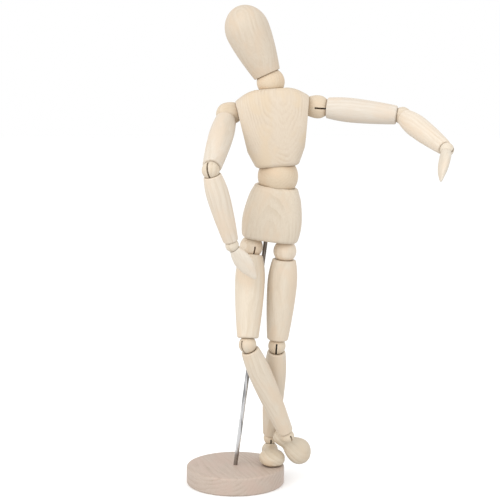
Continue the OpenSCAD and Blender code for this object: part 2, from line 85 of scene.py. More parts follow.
# Each joint's ball: its diameter, the distances from its centre to its flat
# face and to the rim of the cup below it, and the height of the slot's end
BALLS = {
    "shoulder": {"d": 14.2, "face": 6.4, "rim": 5.6, "slot": 2.5},
    "elbow": {"d": 10.6, "face": 3.4, "rim": 3.3, "slot": 1.5},
    "wrist": {"d": 8.2, "face": 2.6, "rim": 2.3, "slot": 1.0},
    "hip": {"d": 14.4, "face": 5.9, "rim": 5.4, "slot": 1.4},
    "knee": {"d": 11.0, "face": 4.0, "rim": 4.2, "slot": 2.2},
    "ankle": {"d": 8.6, "face": 3.2, "rim": 2.6, "slot": 1.2},
}

# The joints above and below each turned limb, then its diameters at the rim, at
# its widest and at its end, with the share of its length where it is widest
LIMB_JOINTS = {
    "upper_arm": ("shoulder", "elbow"),
    "forearm": ("elbow", "wrist"),
    "thigh": ("hip", "knee"),
    "shin": ("knee", "ankle"),
}
LIMBS = {
    "upper_arm": {"rim": 12.6, "wide": 15, "end": 11.4, "peak": 0.34},
    "forearm": {"rim": 10.6, "wide": 13.6, "end": 9, "peak": 0.3},
    "thigh": {"rim": 14.6, "wide": 18.6, "end": 13.2, "peak": 0.3},
    "shin": {"rim": 11.4, "wide": 14.4, "end": 9.8, "peak": 0.3},
}

# How the limbs' outlines bend: above their widest place, and below it
LIMB_SWELL = 2
LIMB_TAPER = 1.6

# Tone of each kind of limb or ball, over the wood's own colour. Arms, wrists and hands are the
# palest wood, and their whiter, bluer tone is partly painted sheen. The feet are darkened as
# painted shade, low down where less light reaches; the hip balls are lightened as painted light
# against the shade under the pelvis
TONES_AND_PAINTED_LIGHT = {
    "upper_arm": (1.02, 1.06, 1.14),
    "forearm": (1.08, 1.1, 1.15),
    "hand": (1.06, 1.11, 1.2),
    "thigh": (1.02, 1.03, 1.05),
    "shin": (1.0, 1.02, 1.06),
    "foot": (0.89, 0.89, 0.88),
    "hip": (1.1, 1.1, 1.12),
    "wrist": (1.03, 1.06, 1.1),
}

# Turn of each hand and foot about its own axis, from the pin, in degrees
HAND_TWIST = {"left": 54, "right": 2}
FOOT_TWIST = {"left": -1.4, "right": 167.6}

# Edges that turn by more than this stay sharp, in degrees
SHARP_ANGLE = 32

# A lathe point nearer the axis than this is on it
ON_AXIS = 1e-6

# How square the carved pieces' sections are: 2 is an ellipse
PELVIS_SQUARENESS = 3.4
CHEST_SQUARENESS = 3.6
PALM_SQUARENESS = 2.3
FOOT_ROUND = 2.0
FOOT_SIDES = 2.2
FOOT_FLAT = 3.6

# ---- The studio, in metres, degrees and watts ----

CAMERA = {"lens": 93.9, "sensor": 36, "place": (0.00946, -0.8212, 0.2531), "look_down": 7.05}
LIGHT_TARGET = (0.02, 0, 0.17)
KEY_LIGHT = {"place": (-0.75, -1.0, 0.8), "size": 1.4, "power": 11, "colour": (1.0, 0.99, 0.98)}
FILL_LIGHT = {"place": (0.9, -0.8, 0.6), "size": 0.9, "power": 3.0, "colour": (0.97, 0.985, 1.0)}
FLOOR = {
    "half_size": 6,
    "drop": 0.00002,
    "white": 0.92,
    "rough": 0.9,
    "specular": 0.1,
    "glow": 0.12,
}

# The world's brightness, of 1, falls to this well below the horizon
BELOW_FLOOR = 0.88
WORLD_DIMS_FROM = -0.06
WORLD_DIMS_TO = -0.5


# ---- Places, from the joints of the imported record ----

def joint_at(name):
    return Vector(JOINTS[name]["pos_m"])


def joint_axis(name):
    return Vector(JOINTS[name]["axis"]).normalized()


def local_frame(origin, z_axis, y_hint):
    """A matrix with +Z along z_axis and +Y as near as it can be to y_hint."""
    z = z_axis.normalized()
    x = y_hint.cross(z).normalized()
    y = z.cross(x)
    place = Matrix((x, y, z)).transposed().to_4x4()
    place.translation = origin
    return place


def node_centre(node):
    low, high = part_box(node)
    return (low + high) / 2


def node_middle(node):
    """The mean of a CAD node's corners, which lies on a turned node's axis."""
    corners = frame["nodes"][node].data.vertices
    return sum((v.co for v in corners), Vector()) / len(corners)


def pelvis_place():
    left_hip = joint_at("left_hip_swivel")
    right_hip = joint_at("right_hip_swivel")
    hips = (left_hip + right_hip) / 2
    up = (joint_at("waist_side_bend") - hips).normalized()
    across = (left_hip - right_hip).normalized()
    return local_frame(hips + up * BALLS["hip"]["face"] * MM, up, up.cross(across))


def chest_place():
    waist = joint_at("waist_side_bend")
    up = (joint_at("neck_side_tilt") - waist).normalized()
    across = (joint_at("left_shoulder_swivel") - joint_at("right_shoulder_swivel")).normalized()
    return local_frame(waist + up * WAIST_GAP / 2 * MM, up, up.cross(across))


def head_place():
    neck = joint_at("head_nod")
    up = (node_middle("head") - neck).normalized()
    return local_frame(neck + up * HEAD["up"] * MM, up, up.cross(joint_axis("head_nod")))


def limb_place(side, limb):
    """A limb's frame: its origin is the ball above it, and +Z runs down the limb."""
    above, below = (f"{side}_{joint}_swing" for joint in LIMB_JOINTS[limb])
    return local_frame(joint_at(above), joint_at(below) - joint_at(above), joint_axis(above))


def limb_length(side, limb):
    above, below = (joint_at(f"{side}_{joint}_swing") for joint in LIMB_JOINTS[limb])
    return (below - above).length / MM


def ball_place(side, joint, node_above):
    """A ball's frame: +Z leads away from the piece above, and +Y is along its pin."""
    centre = joint_at(f"{side}_{joint}_swivel")
    away = joint_axis(f"{side}_{joint}_swivel")
    if away.dot(centre - node_centre(node_above)) < 0:
        away = -away
    return local_frame(centre, away, joint_axis(f"{side}_{joint}_swing"))


def end_place(side, joint, twist_joint, node, degrees):
    """The frame of a hand or foot, turned by its twist from the pin's direction."""
    centre = joint_at(f"{side}_{joint}_swing")
    away = joint_axis(twist_joint)
    if away.dot(node_centre(node) - centre) < 0:
        away = -away
    place = local_frame(centre, away, joint_axis(f"{side}_{joint}_swing"))
    return place @ Matrix.Rotation(math.radians(degrees), 4, "Z")


# ---- Materials ----

class Nodes:
    """A small helper that adds and links the nodes of one material."""

    def __init__(self, name):
        self.material = bpy.data.materials.new(name)
        self.material.use_nodes = True
        self.tree = self.material.node_tree
        self.shader = self.tree.nodes["Principled BSDF"]

    def add(self, kind, inputs=None, **settings):
        node = self.tree.nodes.new(kind)
        for key, value in settings.items():
            setattr(node, key, value)
        for key, value in (inputs or {}).items():
            if isinstance(value, bpy.types.NodeSocket):
                self.tree.links.new(value, node.inputs[key])
            else:
                node.inputs[key].default_value = value
        return node

    def math(self, operation, first, second=0.0, clamp=False):
        inputs = {0: first, 1: second}
        return self.add("ShaderNodeMath", inputs, operation=operation, use_clamp=clamp).outputs[0]

    def vector(self, operation, first, second=None, scale=None):
        inputs = {0: first}
        if second is not None:
            inputs[1] = second
        if scale is not None:
            inputs["Scale"] = scale
        return self.add("ShaderNodeVectorMath", inputs, operation=operation).outputs

    def mix(self, factor, first, second, blend="MIX"):
        inputs = {0: factor, 6: first, 7: second}
        return self.add("ShaderNodeMix", inputs, data_type="RGBA", blend_type=blend).outputs[2]

    def noise(self, vector, scale, detail=2.0, roughness=0.5):
        inputs = {"Vector": vector, "Scale": scale, "Detail": detail, "Roughness": roughness}
        return self.add("ShaderNodeTexNoise", inputs).outputs["Fac"]

    def stretched(self, vector, scale):
        return self.add("ShaderNodeMapping", {"Vector": vector, "Scale": scale}).outputs["Vector"]

    def ramp(self, value, low, high):
        inputs = {"Value": value, "From Min": low, "From Max": high}
        node = self.add("ShaderNodeMapRange", inputs, interpolation_type="SMOOTHSTEP")
        return node.outputs["Result"]

    def link(self, output, socket):
        self.tree.links.new(output, self.shader.inputs[socket])


def wood(name, light, dark, warm, ring_gap, ring_depth, fleck_depth):
    """Sanded wood whose rings circle the Z axis of the mesh's own grain attribute.

    light, dark and warm are linear colours; ring_gap is the growth rings'
    spacing in millimetres; the depths say how strongly rings and flecks show.
    """
    n = Nodes(name)
    grain = n.add("ShaderNodeAttribute", attribute_name="grain").outputs["Vector"]
    tint = n.add("ShaderNodeAttribute", attribute_name="tint").outputs["Color"]
    # Slow wander of the rings, then the distance from the pith; noise scales are per millimetre
    inputs = {"Vector": n.stretched(grain, (1, 1, 0.35)), "Scale": 0.055, "Detail": 2.0}
    wander = n.add("ShaderNodeTexNoise", inputs).outputs["Color"]
    shift = n.vector("SCALE", n.vector("SUBTRACT", wander, (0.5, 0.5, 0.5))[0], scale=9.0)[0]
    bent = n.vector("ADD", grain, shift)[0]
    radius = n.vector("LENGTH", n.vector("MULTIPLY", bent, (1, 1, 0))[0])["Value"]
    phase = n.math("FRACT", n.math("DIVIDE", radius, ring_gap))
    # Earlywood brightens slowly and latewood ends in a thin darker line
    late_peak = 0.93
    late = n.math("MULTIPLY", n.ramp(phase, 0.25, late_peak), n.ramp(phase, 1.0, late_peak))
    uneven = n.noise(n.stretched(grain, (1, 1, 0.2)), 0.09, 2.0)
    rings = n.math("MULTIPLY", late, n.ramp(uneven, 0.3, 0.75))
    # Fibres along the grain, coarse and fine
    fibre = n.noise(n.stretched(bent, (1, 1, 0.035)), 1.5, 4.0, 0.65)
    fine = n.noise(n.stretched(grain, (1, 1, 0.05)), 6.5, 2.0, 0.6)
    blotch = n.noise(n.stretched(grain, (1, 1, 0.45)), 0.1, 3.0, 0.55)
    # Short dark pores
    fleck = n.noise(n.stretched(grain, (1.0, 1.0, 0.16)), 2.6, 1.0, 0.4)
    fleck = n.ramp(fleck, 0.66, 0.76)
    shade = n.math("MULTIPLY", rings, ring_depth)
    shade = n.math("ADD", shade, n.math("MULTIPLY", n.ramp(fibre, 0.3, 0.75), 0.34))
    shade = n.math("ADD", shade, n.math("MULTIPLY", n.ramp(fine, 0.35, 0.7), 0.12), clamp=True)
    colour = n.mix(shade, light, dark)
    colour = n.mix(n.math("MULTIPLY", n.ramp(blotch, 0.42, 0.64), 0.75), colour, warm)
    pore = tuple(0.55 * c for c in dark[:3]) + (1.0,)
    colour = n.mix(n.math("MULTIPLY", fleck, fleck_depth), colour, pore)
    # Each piece's tint: its wood's own tone, with painted light on some pieces and painted shade on others
    colour = n.mix(1.0, colour, tint, "MULTIPLY")
    # Painted shade: ambient occlusion darkens the wood's colour a little in the crevices at the joints
    occluded = n.add("ShaderNodeAmbientOcclusion", {"Distance": 1.6 * MM}, samples=8).outputs["AO"]
    crevice_shade = n.math("MULTIPLY", n.ramp(occluded, 0.7, 0.2), 0.4)
    colour = n.mix(crevice_shade, colour, n.mix(1.0, colour, (0.42, 0.33, 0.25, 1), "MULTIPLY"))
    n.link(colour, "Base Color")
    rough = n.math("ADD", n.math("MULTIPLY", fibre, 0.22), 0.43)
    n.link(n.math("ADD", rough, n.math("MULTIPLY", fleck, 0.1)), "Roughness")
    n.shader.inputs["Specular IOR Level"].default_value = 0.35
    height = n.math("SUBTRACT", n.math("MULTIPLY", fine, 0.6), n.math("MULTIPLY", shade, 0.5))
    height = n.math("SUBTRACT", height, n.math("MULTIPLY", fleck, fleck_depth))
    bump = n.add("ShaderNodeBump", {"Height": height, "Strength": 0.35, "Distance": 0.06 * MM})
    n.link(bump.outputs["Normal"], "Normal")
    return n.material


def steel(name, colour, rough, streak_depth, dark_below, dark_above):
    """Drawn steel: fine lines along the wire, streaks that are painted reflection, and darker ends.

    colour is linear; rough is the least and the greatest roughness; the next
    argument is the streaks' strength; the two heights, in metres, are where the ends darken:
    the darkening above the upper one is painted shadow, and below the lower one the steel
    turns darker towards its end.
    """
    n = Nodes(name)
    place = n.add("ShaderNodeTexCoord").outputs["Object"]
    dull = tuple(0.35 * c for c in colour[:3]) + (1.0,)
    brown = (0.19, 0.15, 0.12, 1.0)
    fade_above = 0.006
    fade_below = 0.004
    lines = n.noise(n.stretched(place, (1, 1, 0.04)), 2600.0, 3.0, 0.6)
    # Painted reflection: dark streaks in the colour stand in for the rod's uneven reflections; they also vary the
    # roughness
    marks = n.noise(n.stretched(place, (1, 1, 0.12)), 420.0, 3.0, 0.55)
    marks = n.math("MULTIPLY", n.ramp(marks, 0.43, 0.58), streak_depth)
    height = n.add("ShaderNodeSeparateXYZ", {"Vector": place}).outputs["Z"]
    # Painted shadow: above dark_above the steel darkens to brown, where the rod lies in the shade under the
    # pelvis; below dark_below it also darkens, towards the base
    ends = n.math(
        "ADD",
        n.ramp(height, dark_above, dark_above + fade_above),
        n.ramp(height, dark_below, dark_below - fade_below),
        clamp=True,
    )
    lined_and_streaked = n.mix(n.math("MULTIPLY", lines, 0.35), n.mix(marks, colour, dull), dull)
    n.link(n.mix(n.math("MULTIPLY", ends, 0.75), lined_and_streaked, brown), "Base Color")
    n.shader.inputs["Metallic"].default_value = 1.0
    spread = n.math("MULTIPLY", lines, rough[1] - rough[0])
    uneven = n.math("ADD", n.math("ADD", spread, rough[0]), n.math("MULTIPLY", marks, 0.2))
    n.link(uneven, "Roughness")
    bump = n.add("ShaderNodeBump", {"Height": lines, "Strength": 0.15, "Distance": 0.02 * MM})
    n.link(bump.outputs["Normal"], "Normal")
    return n.material


LIMB_WOOD = wood(
    "limb_wood",
    light=(0.655, 0.57, 0.455, 1),
    dark=(0.52, 0.42, 0.30, 1),
    warm=(0.635, 0.51, 0.375, 1),
    ring_gap=2.8,
    ring_depth=0.5,
    fleck_depth=0.06,
)
BALL_WOOD = wood(
    "ball_wood",
    light=(0.65, 0.55, 0.425, 1),
    dark=(0.52, 0.41, 0.28, 1),
    warm=(0.64, 0.505, 0.365, 1),
    ring_gap=1.9,
    ring_depth=0.40,
    fleck_depth=0.08,
)
CHEST_WOOD = wood(
    "chest_wood",
    light=(0.655, 0.565, 0.455, 1),
    dark=(0.54, 0.43, 0.315, 1),
    warm=(0.64, 0.52, 0.375, 1),
    ring_gap=1.7,
    ring_depth=0.65,
    fleck_depth=0.06,
)
BASE_WOOD = wood(
    "base_wood",
    light=(0.50, 0.42, 0.36, 1),
    dark=(0.36, 0.28, 0.22, 1),
    warm=(0.48, 0.375, 0.315, 1),
    ring_gap=2.7,
    ring_depth=0.55,
    fleck_depth=0.3,
)
ROD_STEEL = steel(
    "steel_rod",
    colour=(0.82, 0.82, 0.83, 1),
    rough=(0.16, 0.34),
    streak_depth=1.0,
    dark_below=0.022,
    # Painted shadow above this height, in the shade under the pelvis
    dark_above=0.137,
)
DARK_STEEL = steel(
    "steel_hardware",
    colour=(0.16, 0.15, 0.14, 1),
    rough=(0.35, 0.55),
    streak_depth=0.6,
    dark_below=0.0,
    dark_above=1.0,
)


# ---- Mesh building ----

def arc(centre, radius, start, end, steps):
    """Points on an arc in the (r, z) plane; angles are degrees from +r towards +z."""
    return [
        (
            centre[0] + radius * math.cos(math.radians(start + (end - start) * i / steps)),
            centre[1] + radius * math.sin(math.radians(start + (end - start) * i / steps)),
        )
        for i in range(steps + 1)
    ]


def lathe(outline, sides):
    """A closed bmesh turned from (radius, height) points that start and end on the axis."""
    mesh = bmesh.new()
    rings = []
    for radius, height in outline:
        if radius < ON_AXIS:
            rings.append([mesh.verts.new((0, 0, height))])
        else:
            rings.append([
                mesh.verts.new((
                    radius * math.cos(2 * math.pi * i / sides),
                    radius * math.sin(2 * math.pi * i / sides),
                    height,
                ))
                for i in range(sides)
            ])
    for low, high in zip(rings, rings[1:]):
        for i in range(sides):
            k = (i + 1) % sides
            below = [low[i % len(low)], low[k % len(low)]]
            above = [high[k % len(high)], high[i % len(high)]]
            mesh.faces.new(list(dict.fromkeys(below + above)))
    bmesh.ops.recalc_face_normals(mesh, faces=mesh.faces)
    return mesh


def loft(sections, cap_start, cap_end):
    """A closed bmesh through rings of equal length, with a point at each end."""
    mesh = bmesh.new()
    rings = [[mesh.verts.new(p) for p in ring] for ring in sections]
    count = len(rings[0])
    for low, high in zip(rings, rings[1:]):
        for i in range(count):
            k = (i + 1) % count
            mesh.faces.new([low[i], low[k], high[k], high[i]])
    for ring, tip in ((rings[0], cap_start), (rings[-1], cap_end)):
        middle = mesh.verts.new(tip)
        for i in range(count):
            mesh.faces.new([ring[i], ring[(i + 1) % count], middle])
    bmesh.ops.recalc_face_normals(mesh, faces=mesh.faces)
    return mesh


def to_object(name, mesh):
    data = bpy.data.meshes.new(name)
    mesh.to_mesh(data)
    mesh.free()
    piece = bpy.data.objects.new(name, data)
    bpy.context.scene.collection.objects.link(piece)
    return piece


def apply_modifiers(piece):
    bpy.context.view_layer.update()
    evaluated = piece.evaluated_get(bpy.context.evaluated_depsgraph_get())
    finished = bpy.data.meshes.new_from_object(evaluated)
    piece.modifiers.clear()
    piece.data = finished


def cut(piece, *tools):
    """Takes each tool mesh out of the piece."""
    cutters = [to_object(f"{piece.name}_cutter{i}", tool) for i, tool in enumerate(tools)]
    for cutter in cutters:
        boolean = piece.modifiers.new("cut", "BOOLEAN")
        boolean.operation = "DIFFERENCE"
        boolean.solver = "EXACT"
        boolean.object = cutter
    apply_modifiers(piece)
    for cutter in cutters:
        bpy.data.objects.remove(cutter)


def finish_piece(piece, node, place, material, grain_turn, grain_shift, tint):
    """Places a piece in the figure and on its body, and gives it its grain and material.

    grain_turn is two angles about X and Y, in degrees, and grain_shift is in
    millimetres; together they lay the tree's pith through or beside the piece.
    """
    data = piece.data
    turn_x = Matrix.Rotation(math.radians(grain_turn[0]), 3, "X")
    turn = turn_x @ Matrix.Rotation(math.radians(grain_turn[1]), 3, "Y")
    shift = Vector(grain_shift)
    grain = [value for vertex in data.vertices for value in turn @ vertex.co + shift]
    data.attributes.new("grain", "FLOAT_VECTOR", "POINT")
    data.attributes.new("tint", "FLOAT_COLOR", "POINT")
    data.attributes["grain"].data.foreach_set("vector", grain)
    data.attributes["tint"].data.foreach_set("color", (*tint, 1.0) * len(data.vertices))
    data.transform(place @ Matrix.Scale(MM, 4))
    data.shade_smooth()
    data.set_sharp_from_angle(angle=math.radians(SHARP_ANGLE))
    data.materials.clear()
    data.materials.append(material)
    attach(piece, BODY_OF[node])
    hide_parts(node)


def piece_tint(number, shade=(1.0, 1.0, 1.0)):
    """A slight change of that shade from piece to piece, the same on each run."""
    wave = 0.05 * noise.noise(Vector((number * 3.7, 0.5, 0.2)))
    warm = noise.noise(Vector((0.3, number * 2.9, 0.7)))
    change = (wave, wave - 0.015 * warm, wave - 0.05 * warm)
    return [part * (1.0 + step) for part, step in zip(shade, change)]


# ---- The stand ----

def make_base():
    edge = BASE["edge"]
    rim = BASE["radius"] - edge
    top = BASE["height"]
    outline = [(0, 0)]
    outline += arc((rim, edge), edge, -90, 0, 6)
    outline += arc((rim, top - edge), edge, 0, 90, 6)
    outline += [(rim * share, top) for share in (0.66, 0.33, 0)]
    piece = to_object("wooden_base", lathe(outline, sides=160))
    finish_piece(
        piece,
        "base",
        Matrix.Identity(4),
        BASE_WOOD,
        grain_turn=(70, 90),
        grain_shift=(-45, 36, 46),
        tint=(1.03, 1.02, 1.01),
    )


# ---- The torso ----

def block_ring(half_x, half_y, height, squareness, count=72):
    """A rounded rectangle, as a superellipse of the given power."""
    ring = []
    for i in range(count):
        angle = 2 * math.pi * (i + 0.5) / count
        c = math.cos(angle)
        s = math.sin(angle)
        ring.append((
            half_x * math.copysign(abs(c) ** (2 / squareness), c),
            half_y * math.copysign(abs(s) ** (2 / squareness), s),
            height,
        ))
    return ring


def ball_tool(radius, height, sides=96):
    """A whole ball for hollowing a cup, with its centre at that height."""
    steps = 48
    outline = [
        (radius * math.sin(math.pi * i / steps), height - radius * math.cos(math.pi * i / steps))
        for i in range(steps + 1)
    ]
    outline[0] = (0, outline[0][1])
    outline[-1] = (0, outline[-1][1])
    return lathe(outline, sides)


def smooth_sections(knots, count):
    """Heights and half-sizes along a smooth curve through the knots (Catmull-Rom)."""
    rows = []
    for i in range(count + 1):
        place = i / count * (len(knots) - 1)
        k = min(int(place), len(knots) - 2)
        t = place - k
        p = [knots[max(0, min(len(knots) - 1, k + d))] for d in (-1, 0, 1, 2)]
        rows.append([
            b + 0.5 * t * (c - a + t * (2 * a - 5 * b + 4 * c - d + t * (3 * b - a - 3 * c + d)))
            for a, b, c, d in zip(*p)
        ])
    return rows


def make_pelvis():
    """Narrow at the waist, widest a third of the way up, with a flat top and underside."""
    # Half-width, half-depth and height of each section
    knots = [
        (15.2, 10.0, 0.0),
        (16.7, 11.2, 0.8),
        (17.7, 11.9, 2.6),
        (18.5, 12.7, 9.0),
        (18.2, 13.0, 16.0),
        (16.3, 12.8, 26.0),
        (14.5, 12.3, PELVIS_HEIGHT - 3.0),
        (13.6, 11.6, PELVIS_HEIGHT - 0.9),
        (12.4, 10.6, PELVIS_HEIGHT),
    ]
    rows = smooth_sections(knots, count=54)
    rings = [block_ring(x, y, z, PELVIS_SQUARENESS) for x, y, z in rows]
    piece = to_object("pelvis_block", loft(rings, (0, 0, 0), (0, 0, PELVIS_HEIGHT)))
    cut(piece, ball_tool(WAIST_BALL / 2 + CUP_GAP, PELVIS_HEIGHT + WAIST_GAP / 2))
    finish_piece(
        piece,
        "pelvis",
        pelvis_place(),
        LIMB_WOOD,
        grain_turn=(-16, 3),
        grain_shift=(0, 13, 12),
        tint=(1.0, 1.01, 1.03),
    )


def side_tool(side):
    """All that lies outside the chest's sloping side, on which a shoulder joint sits."""
    mesh = bmesh.new()
    width = 80
    bmesh.ops.create_cube(mesh, size=width)
    bmesh.ops.translate(mesh, verts=mesh.verts, vec=(side * width / 2, 0, 0))
    slope = Matrix.Rotation(math.radians(side * SHOULDER_SLOPE), 4, "Y")
    bmesh.ops.transform(mesh, verts=mesh.verts, matrix=slope)
    bmesh.ops.translate(mesh, verts=mesh.verts, vec=(side * SHOULDER_FACE_X, 0, SHOULDER_UP))
    return mesh


def make_chest():
    """A wedge, broad at the shoulders, with flat sides where the arms turn."""
    # Half-width, half-depth and height of each section
    knots = [
        (12.0, 10.8, 0.0),
        (13.4, 12.0, 0.9),
        (14.5, 12.8, 3.0),
        (18.4, 13.7, 12.0),
        (22.0, 14.2, 22.0),
        (24.6, 14.0, 32.0),
        (24.6, 13.5, 38.0),
        (22.6, 12.8, 41.6),
        (19.0, 12.0, 44.2),
        (14.8, 10.9, 46.4),
        (10.4, 9.2, CHEST_HEIGHT),
    ]
    rows = smooth_sections(knots, count=60)
    rings = [block_ring(x, y, z, CHEST_SQUARENESS) for x, y, z in rows]
    piece = to_object("chest_block", loft(rings, (0, 0, 0), (0, 0, CHEST_HEIGHT)))
    cut(
        piece,
        side_tool(1),
        side_tool(-1),
        ball_tool(WAIST_BALL / 2 + CUP_GAP, -WAIST_GAP / 2),
        ball_tool(NECK_BALL / 2 + CUP_GAP, CHEST_HEIGHT + NECK_UP),
    )
    finish_piece(
        piece,
        "chest",
        chest_place(),
        CHEST_WOOD,
        grain_turn=(24, 2),
        grain_shift=(-5.8, 33.6, -30),
        tint=(0.97, 0.97, 0.97),
    )


def make_torso_ball(name, node, joint, diameter, up_from, grain_shift):
    """A waist or neck ball with end grain on its sides."""
    centre = joint_at(joint)
    place = local_frame(centre, centre - up_from, joint_axis(joint))
    piece = to_object(name, ball_tool(diameter / 2, 0, sides=128))
    finish_piece(
        piece,
        node,
        place,
        BALL_WOOD,
        grain_turn=(80, 8),
        grain_shift=grain_shift,
        tint=(1.0, 0.98, 0.95),
    )


def egg_radius(height):
    """Half-width of the head: a taper that swells up to its widest, then a half-ellipse."""
    widest = HEAD["widest"] * HEAD["height"]
    if height < widest:
        below = (widest - height) / widest
        return HEAD["width"] / 2 - (HEAD["width"] - HEAD["flat"]) / 2 * below ** HEAD["swell"]
    above = (height - widest) / (HEAD["height"] - widest)
    return HEAD["width"] / 2 * math.sqrt(max(0, 1 - above * above))


def make_head():
    """An egg with a flat underside and a cup for the neck ball."""
    steps = 56
    edge = 0.7
    outline = [(0, 0), (egg_radius(0) - edge, 0)]
    outline += arc((egg_radius(edge) - edge, edge), edge, -70, -10, 4)
    for i in range(1, steps + 1):
        height = HEAD["height"] * math.sin(math.radians(90 * i / steps))
        if height > 2 * edge:
            outline.append((egg_radius(height), height))
    outline[-1] = (0, HEAD["height"])
    piece = to_object("egg_head", lathe(outline, sides=128))
    cut(piece, ball_tool(NECK_BALL / 2 + CUP_GAP, -HEAD["up"]))
    finish_piece(
        piece,
        "head",
        head_place(),
        LIMB_WOOD,
        grain_turn=(8, -6),
        grain_shift=(4, 15, 5),
        # Painted shade: this tint darkens the whole head a little, to tone down its lit top
        tint=(0.93, 0.93, 0.95),
    )


# ---- The limb joints ----

def slot_tool(radius, slot_top):
    """A saw cut in the ball's XZ plane, with a flat end above the pin."""
    half = SLOT_WIDTH / 2
    far = radius + 1
    outline = [(-far, far), (-far, -slot_top), (far, -slot_top), (far, far)]
    mesh = bmesh.new()
    front = [mesh.verts.new((x, -half, z)) for x, z in outline]
    back = [mesh.verts.new((x, half, z)) for x, z in outline]
    mesh.faces.new(front)
    mesh.faces.new(back[::-1])
    for i in range(len(outline)):
        k = (i + 1) % len(outline)
        mesh.faces.new([front[i], back[i], back[k], front[k]])
    bmesh.ops.recalc_face_normals(mesh, faces=mesh.faces)
    return mesh


def make_ball(side, joint, node_above, number):
    """A turned ball with a spigot, a flat face towards the piece above, and a saw slot."""
    size = BALLS[joint]
    radius = size["d"] / 2
    top = size["face"] - FACE_GAP
    stretch = SHOULDER_STRETCH if joint == "shoulder" else 1
    edge = 0.25
    start = math.asin((top - edge) / (radius * stretch))
    face_radius = radius * math.cos(start) - edge
    outline = [
        (0, -top - SPIGOT["length"]),
        (SPIGOT["radius"], -top - SPIGOT["length"]),
        (SPIGOT["radius"], -top),
        (face_radius, -top),
    ]
    steps = 20
    for i in range(steps):
        angle = start * (1 - i / steps)
        outline.append((radius * math.cos(angle), -radius * stretch * math.sin(angle)))
    outline += arc((0, 0), radius, 0, 90, 28)
    outline[-1] = (0, radius)
    piece = to_object(f"{side}_{joint}_ball_wood", lathe(outline, sides=96))
    cut(piece, slot_tool(radius, size["slot"]))
    place = ball_place(side, joint, node_above)
    material = BALL_WOOD if joint == "shoulder" else LIMB_WOOD
    # Each ball comes from another place in the wood
    shift = (4 + number % 5, 8 + number % 3, number * 7)
    tint = piece_tint(number, TONES_AND_PAINTED_LIGHT.get(joint, (1.0, 1.0, 1.0)))
    finish_piece(piece, f"{side}_{joint}_ball", place, material, (5, 4), shift, tint)


def limb_radius(share, limb):
    """Half-width at a share of the limb's length: it swells to its widest, then tapers."""
    size = LIMBS[limb]
    peak = size["peak"]
    widest = size["wide"] / 2
    if share < peak:
        return widest - (widest - size["rim"] / 2) * ((peak - share) / peak) ** LIMB_SWELL
    return widest - (widest - size["end"] / 2) * ((share - peak) / (1 - peak)) ** LIMB_TAPER


def make_limb(side, limb, number):
    """A turned limb with a cup for the ball above it and a bore for the one below."""
    size = LIMBS[limb]
    ball_above, ball_below = (BALLS[joint] for joint in LIMB_JOINTS[limb])
    start = ball_above["rim"]
    end = limb_length(side, limb) - ball_below["face"]
    cup = ball_above["d"] / 2 + CUP_GAP
    edge = 0.75
    end_edge = 1.3
    lip = 0.08
    rim_angle = math.degrees(math.asin(start / cup))
    outline = arc((0, 0), cup, 90, rim_angle + 2, 14)
    outline[0] = (0, cup)
    cup_rim = cup * math.cos(math.radians(rim_angle))
    outline += [(cup_rim + lip, start), (size["rim"] / 2 - edge, start)]
    outline += arc((limb_radius(edge / (end - start), limb) - edge, start + edge), edge, -75, 0, 5)
    steps = 40
    for i in range(1, steps):
        share = i / steps
        height = start + share * (end - start)
        if start + 1.6 * edge < height < end - 1.4 * end_edge:
            outline.append((limb_radius(share, limb), height))
    end_radius = limb_radius(1 - end_edge / (end - start), limb)
    outline += arc((end_radius - end_edge, end - end_edge), end_edge, 0, 90, 8)
    bore_end = end - SPIGOT["length"] - 1
    outline += [
        (BORE_RADIUS + 0.2, end),
        (BORE_RADIUS, end - 0.2),
        (BORE_RADIUS, bore_end),
        (0, bore_end),
    ]
    piece = to_object(f"{side}_{limb}_wood", lathe(outline, sides=112))
    # Each limb comes from another place in the wood, a little askew to its grain
    shift = (3.5 + (number * 5) % 7, 9 + (number * 3) % 8, number * 31)
    turn = (3 - (number % 3) * 2, (number % 4) - 1.5)
    tint = piece_tint(number, TONES_AND_PAINTED_LIGHT[limb])
    finish_piece(piece, f"{side}_{limb}", limb_place(side, limb), LIMB_WOOD, turn, shift, tint)


# ---- Hands and feet ----

def make_hand(side, number):
    """A mitten: a round wrist that flattens into a palm and a thin curved tip."""
    rim = BALLS["wrist"]["rim"]
    reach = 26.0
    # Half-width, half-thickness and height of each section, and its middle's two shifts
    knots = [
        (2.7, 2.7, rim, 0.0, 0.0),
        (3.3, 3.1, rim + 0.9, 0.0, 0.0),
        (4.7, 3.1, 7.5, 0.0, 0.05),
        (5.3, 2.9, 12.0, 0.1, 0.15),
        (4.6, 2.4, 17.0, 0.3, 0.4),
        (3.1, 1.5, 21.4, 0.5, 0.65),
        (1.6, 0.8, 24.6, 0.6, 0.8),
        (0.5, 0.3, reach - 0.1, 0.6, 0.85),
    ]
    rings = []
    for half_x, half_y, height, off_x, off_y in smooth_sections(knots, count=36):
        ring = block_ring(half_x, half_y, height, PALM_SQUARENESS, count=48)
        rings.append([(x + off_x, y + off_y, z) for x, y, z in ring])
    piece = to_object(f"{side}_hand_wood", loft(rings, (0, 0, rim), (0.6, 0.8, reach)))
    cut(piece, ball_tool(BALLS["wrist"]["d"] / 2 + CUP_GAP, 0, sides=64))
    place = end_place(side, "wrist", f"{side}_hand_twist", f"{side}_hand", HAND_TWIST[side])
    tint = piece_tint(number, TONES_AND_PAINTED_LIGHT["hand"])
    finish_piece(piece, f"{side}_hand", place, LIMB_WOOD, (2, 3), (5, 9, number * 17), tint)


